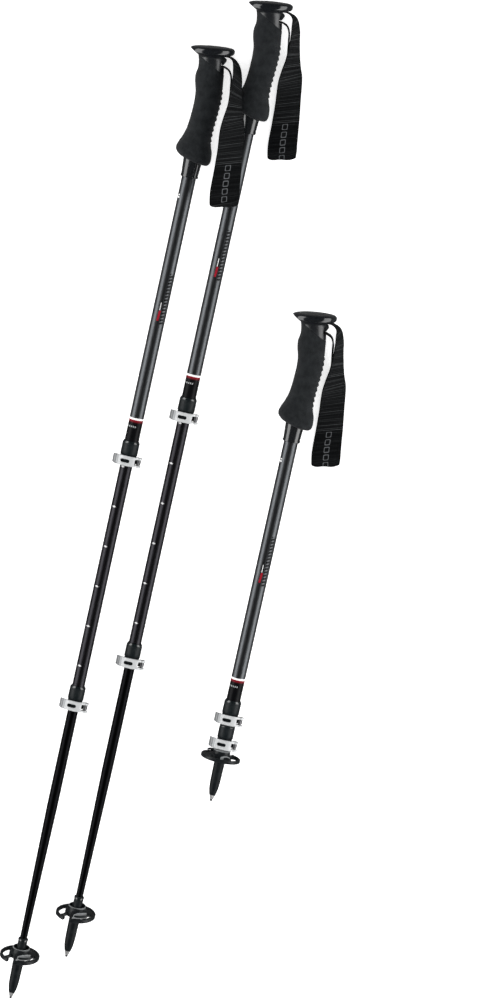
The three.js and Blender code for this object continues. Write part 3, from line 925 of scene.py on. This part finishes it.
def clampLever():
    look = clampLook
    half = look["leverHalf"]
    x, z = look["hingeX"], look["hingeZ"]
    piece = leverBand()
    joinOn(piece, rodPiece("boss", look["boss"], -half, half, x, z, sides=40))
    cutAway(piece, roundBlock("fork", *look["fork"], 0.9))
    cutAway(piece, rodPiece("pivot", look["pivotHole"], -8, 8, x, z))
    cutAway(piece, roundBlock("slot", *look["leverSlot"], 2.1, 6))
    for t in look["grooves"]:
        grooveX, grooveZ = alongRows(leverLine, t)
        away = Vector((grooveX, grooveZ)).normalized() * look["grooveOut"]
        cutAway(piece, rodPiece("groove", look["groove"], -8, 8, grooveX + away.x, grooveZ + away.y,
                                sides=16))
    roundEdges(piece, 0.3, 2, above=42)
    return piece


def clampPieces():
    satin = mouldedPlastic("clampSatin")
    steel, silver = plainMetal("boltSteel"), plainMetal("leverAluminium")
    upper = clampBody(clampLook["upperSleeve"], tubeLook["upper"], tubeLook["middle"])
    putOnPoles(upper, "upper_clamp", "upperClamp", "upper", satin)
    lower = clampBody(clampLook["lowerSleeve"], tubeLook["middle"], tubeLook["lower"])
    putOnPoles(lower, "lower_clamp", "lowerClamp", "middle", satin)
    for level, body in (("upper", "upper"), ("lower", "middle")):
        anchor = level + "Clamp"
        putOnPoles(clampBolt(), level + "_bolt", anchor, body, steel)
        putOnPoles(clampLever(), level + "_lever", anchor, level + "_lever_arm", silver)


clampPieces()


# Basket, flex tip and carbide point

basketOutline = [
    (7.4, 57), (13, 57.3), (22, 56.3), (24.6, 56.1), (25.5, 56.9), (25.5, 59.9), (24.9, 60.7),
    (23.4, 60.8), (22.2, 60), (18, 60.6), (13.2, 62.4), (11.3, 63.6), (10.9, 66), (11.1, 69),
    (10.7, 69.7), (9.9, 69.7), (9.6, 69.2), (9.4, 64), (7.4, 63.9), (7.4, 57),
]
basketLook = {
    # how far the plate drops to the front and rises to the lever side, its turn, and its poles
    "fitted": [((0.17, 0.07), 0, ["left", "centre"]), ((0, 0), 180, ["right"])],
    # edge is the colour of the painted highlights on the hub rim and slot bead
    "leanFrom": (8.8, 10.2), "edge": (0.26, 0.27, 0.275),
    "slotMiddle": (8, 15), "slotTurn": 28, "slotHalf": (9.4, 3.3), "bead": 1.3, "beadHeight": 63.4,
    "hubEdge": (10.2, 11.6), "hubEdgeFrom": 67.4,
    # openings as (inner radius, outer radius, first angle, last angle, steps)
    "windows": [(14.0, 22.0, 150, 228, 14), (12.2, 21.2, 106, 144, 8), (20.4, 30, 106, 127, 6),
                (16, 20.6, 4, 70, 12), (14.6, 21.6, 252, 322, 14)],
}


# Painted highlights: lighter colour on the hub's rim and on the hub side of the bead round the oval slot.
def basketPaintedHighlights(material, x, y, z):
    look = basketLook
    away = calc(material, "SQRT", calc(material, "ADD", both(material, x, x), both(material, z, z)))
    hub = both(material, between(material, away, *look["hubEdge"]),
               calc(material, "GREATER_THAN", y, look["hubEdgeFrom"]))
    middleX, middleZ = look["slotMiddle"]
    long, short = [half + 0.7 for half in look["slotHalf"]]
    turn = math.radians(look["slotTurn"])
    besideX, besideZ = calc(material, "SUBTRACT", x, middleX), calc(material, "SUBTRACT", z, middleZ)
    u = calc(material, "SUBTRACT", both(material, besideX, math.cos(turn) / long),
             both(material, besideZ, math.sin(turn) / long))
    w = calc(material, "ADD", both(material, besideX, math.sin(turn) / short),
             both(material, besideZ, math.cos(turn) / short))
    ring = calc(material, "SQRT", calc(material, "ADD", both(material, u, u), both(material, w, w)))
    bead = both(material, between(material, ring, 0.78, 1.3), calc(material, "LESS_THAN", w, 0.1))
    return calc(material, "MAXIMUM", both(material, hub, 0.55), bead)


# A ring sector extruded along the shaft; angles run from X towards Z.
def sectorPiece(name, inner, outer, start, end, low, high, steps=14):
    cleanStart()
    bpy.ops.mesh.primitive_plane_add(size=1)
    piece = bpy.context.active_object
    piece.name = name
    corners = [(inner, low), (outer, low), (inner, high), (outer, high)]
    for vertex, (r, y) in zip(piece.data.vertices, corners):
        angle = math.radians(start)
        vertex.co = (r * math.cos(angle), y, r * math.sin(angle))
    bpy.ops.object.mode_set(mode="EDIT")
    bpy.ops.mesh.select_all(action="SELECT")
    for step in range(steps):
        bpy.ops.mesh.extrude_region_move(TRANSFORM_OT_translate={"value": (0, 0, 0)})
        turnSelected(math.radians(end - start) / steps)
    bpy.ops.object.mode_set(mode="OBJECT")
    faceOut(piece)
    return piece


# Turns the selected vertices about the shaft, from X towards Z.
def turnSelected(angle):
    bpy.ops.transform.rotate(value=angle, orient_axis="Y", center_override=(0, 0, 0))


# An oval in the plate's plane, turned to lie along the rim beside the slot.
def layOval(piece, lift):
    x, z = basketLook["slotMiddle"]
    turn = Matrix.Rotation(math.radians(basketLook["slotTurn"]), 4, "Y")
    piece.data.transform(Matrix.Translation((x, lift, z)) @ turn)


def slotCutter():
    cutter = turnPiece("slot", [(1, -12), (1, 12)], 40)
    cutter.data.transform(Matrix.Diagonal((basketLook["slotHalf"][0], 1, basketLook["slotHalf"][1], 1)))
    layOval(cutter, 60)
    return cutter


def slotBead():
    long, short = basketLook["slotHalf"]
    bead = basketLook["bead"]
    cleanStart()
    bpy.ops.mesh.primitive_torus_add(major_radius=long + bead * 0.6, minor_radius=bead, major_segments=64,
                                     minor_segments=12, rotation=(math.pi / 2, 0, 0))
    bpy.ops.object.transform_apply(location=False, rotation=True, scale=False)
    piece = bpy.context.active_object
    for vertex in piece.data.vertices:
        angle = math.atan2(vertex.co.z, vertex.co.x)
        vertex.co.z -= math.sin(angle) * (long - short)
    layOval(piece, basketLook["beadHeight"])
    return piece


def basket(lean, turn):
    piece = turnPiece("basket", basketOutline, 96, hollow=True)
    joinOn(piece, slotBead())
    for inner, outer, start, end, steps in basketLook["windows"]:
        cutter = sectorPiece("window", inner, outer, start, end, 50, 66, steps)
        roundEdges(cutter, 1.0, 3, above=30)
        cutAway(piece, cutter)
    cutAway(piece, slotCutter())
    roundEdges(piece, 0.25, 2, above=45)
    front, side = lean
    for vertex in piece.data.vertices:
        away = math.hypot(vertex.co.x, vertex.co.z)
        share = smoothStep(away, *basketLook["leanFrom"])
        vertex.co.y += share * (side * vertex.co.x - front * vertex.co.z)
    piece.data.transform(Matrix.Rotation(math.radians(turn), 4, "Y"))
    return piece


flexOutline = [
    (2.3, 8.4), (3.7, 8.4), (4.1, 8.8), (4.9, 12.2), (5.7, 16), (6.2, 21), (6.5, 27), (6.9, 52), (7.0, 63.6),
    (8.6, 64.2), (9, 64.5), (9, 66.7), (8.7, 67), (6.3, 67.4), (6.1, 68), (5.85, 78.2),
    (6.3, 79.4), (6.3, 81.2), (5.8, 82), (4.95, 82), (4.95, 36), (2.3, 35), (2.3, 8.4),
]
pointOutline = [(1.3, 0), (1.65, 0.4), (1.7, 2.6), (2.05, 2.8), (3.6, 7.4), (3.8, 8.2), (2, 8.3), (2, 24)]


# Turned steel with the dark carbide insert at its end
pointLook = {
    "steel": (0.72, 0.72, 0.72), "darker": (0.48, 0.48, 0.48), "carbide": (0.10, 0.10, 0.105),
    "insert": (-1.0, 2.9), "roughness": (0.2, 0.32), "metallic": 0.7, "lines": (0.8, 6.0, 0.8),
}


def carbidePoint():
    look = pointLook
    material, shader = startMaterial("carbidePoint", look["steel"], 0.3, look["metallic"])
    placed = placeOf(material)
    vector, y = placed[0], placed[2]
    lines = grain(material, stretched(material, vector, look["lines"]), 1.0)
    steel = mixColours(material, ranged(material, lines, 0, 1), look["darker"], look["steel"])
    insert = between(material, y, *look["insert"])
    wire(material, mixColours(material, insert, steel, look["carbide"]), shader.inputs["Base Color"])
    wire(material, ranged(material, lines, *look["roughness"]), shader.inputs["Roughness"])
    addBump(material, shader, lines, 0.02)
    return material


def tipPieces():
    satin = mouldedPlastic("basketSatin")
    for lean, turn, poles in basketLook["fitted"]:
        putOnPoles(basket(lean, turn), "basket", "tip", "basket_ring", satin, poles)
    flex = turnPiece("flexTip", flexOutline, 64, hollow=True)
    putOnPoles(flex, "flex_tip", "tip", "lower", mouldedPlastic("flexTipSatin"))
    point = turnPiece("point", pointOutline, 10)
    putOnPoles(point, "carbide_tip", "tip", "lower", carbidePoint())


tipPieces()


# Small pieces kept as they come: strap pins and guide bushes

def keptNodes():
    pins, bushes = plainMetal("pinSteel"), mouldedPlastic("bushNylon")
    for pole in poleNames:
        for part, material in (("strap_pin", pins), ("middle_bush", bushes), ("lower_bush", bushes)):
            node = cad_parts[f"{pole}_{part}"]
            node.data.materials.clear()
            node.data.materials.append(material)
    print("kept nodes finished")


keptNodes()


# Camera, floor and lights

cameraLook = {
    "aimX": 0.0497, "aimY": 0.0409, "above": 5.5, "pitch": 9.0, "roll": 12.391, "lens": 158.28,
}


def addCamera():
    look = cameraLook
    roll, pitch = math.radians(look["roll"]), math.radians(look["pitch"])
    pictureUp = Vector((-math.sin(roll), math.cos(roll), 0))
    right = Vector((math.cos(roll), math.sin(roll), 0))
    aim = Vector((look["aimX"], look["aimY"], anchors["left"]["grip"].z))
    place = aim + Vector((0, 0, look["above"])) + pictureUp * look["above"] * math.tan(pitch)
    back = (place - aim).normalized()
    up = back.cross(right)
    cleanStart()
    bpy.ops.object.camera_add(location=place)
    camera = bpy.context.active_object
    camera.matrix_world = Matrix.Translation(place) @ Matrix((right, up, back)).transposed().to_4x4()
    camera.data.lens = look["lens"]
    camera.data.sensor_width = 36
    camera.data.clip_end = 50
    bpy.context.scene.camera = camera


floorLook = {"size": 30.0, "colour": (0.93, 0.93, 0.93), "roughness": 0.9, "glow": 0.6}


def addFloor():
    cleanStart()
    bpy.ops.mesh.primitive_plane_add(size=floorLook["size"], location=(0, 0, 0))
    floor = bpy.context.active_object
    floor.name = "floor"
    floor.visible_glossy = False
    material, shader = startMaterial("paleFloor", floorLook["colour"], floorLook["roughness"])
    shader.inputs["Emission Color"].default_value = (1, 1, 1, 1)
    shader.inputs["Emission Strength"].default_value = floorLook["glow"]
    floor.data.materials.append(material)


lightLook = {
    "sideDistance": 1.9, "sideElevation": 23.0, "sideHeight": 1.5, "sideLength": 4.2, "sidePower": 60.0,
    "overheadPower": 150.0, "overheadSize": 5.0, "overheadHeight": 4.0,
    "sky": 0.035, "below": 0.12, "backdrop": 1.0,
}


def addAreaLight(name, place, aim, width, height, power):
    cleanStart()
    bpy.ops.object.light_add(type="AREA", location=place)
    light = bpy.context.active_object
    light.name = name
    light.data.shape = "RECTANGLE"
    light.data.size, light.data.size_y = width, height
    light.data.energy = power
    light.rotation_euler = (Vector(aim) - Vector(place)).to_track_quat("-Z", "Y").to_euler()
    return light


def addLights():
    look = lightLook
    rise = look["sideDistance"] * math.tan(math.radians(look["sideElevation"]))
    for name, side in (("leftStrip", -1), ("rightStrip", 1)):
        place = (side * look["sideDistance"], 0, rise)
        strip = addAreaLight(name, place, (0, 0, 0.03), look["sideLength"], look["sideHeight"],
                             look["sidePower"])
        back = Vector(place).normalized()
        along = Vector((0, 1, 0))
        strip.matrix_world = Matrix.Translation(place) @ Matrix(
            (along, back.cross(along), back)).transposed().to_4x4()
    overhead = addAreaLight("overhead", (0, 0, look["overheadHeight"]), (0, 0, 0), look["overheadSize"],
                            look["overheadSize"], look["overheadPower"])
    overhead.visible_glossy = False
    overhead.visible_camera = False


# The backdrop is white where it is seen; reflections find it dark above and paler below the horizon.
def addSky():
    world = bpy.data.worlds.new("studio")
    bpy.context.scene.world = world
    world.use_nodes = True
    seen = world.node_tree.nodes["Background"]
    seen.inputs["Color"].default_value = (1, 1, 1, 1)
    seen.inputs["Strength"].default_value = lightLook["backdrop"]
    nodes = world.node_tree.nodes
    dim = nodes.new("ShaderNodeBackground")
    dim.inputs["Color"].default_value = (1, 1, 1, 1)
    split = nodes.new("ShaderNodeSeparateXYZ")
    wire(world, nodes.new("ShaderNodeTexCoord").outputs["Generated"], split.inputs[0])
    below = ranged(world, split.outputs[2], lightLook["below"], lightLook["sky"], -0.25, 0.02)
    wire(world, below, dim.inputs["Strength"])
    mix = nodes.new("ShaderNodeMixShader")
    wire(world, nodes.new("ShaderNodeLightPath").outputs["Is Camera Ray"], mix.inputs[0])
    wire(world, dim.outputs[0], mix.inputs[1])
    wire(world, seen.outputs[0], mix.inputs[2])
    wire(world, mix.outputs[0], nodes["World Output"].inputs["Surface"])


addCamera()
addFloor()
addLights()
addSky()
bpy.context.scene.view_settings.view_transform = "Standard"
print("camera, floor and lights ready")
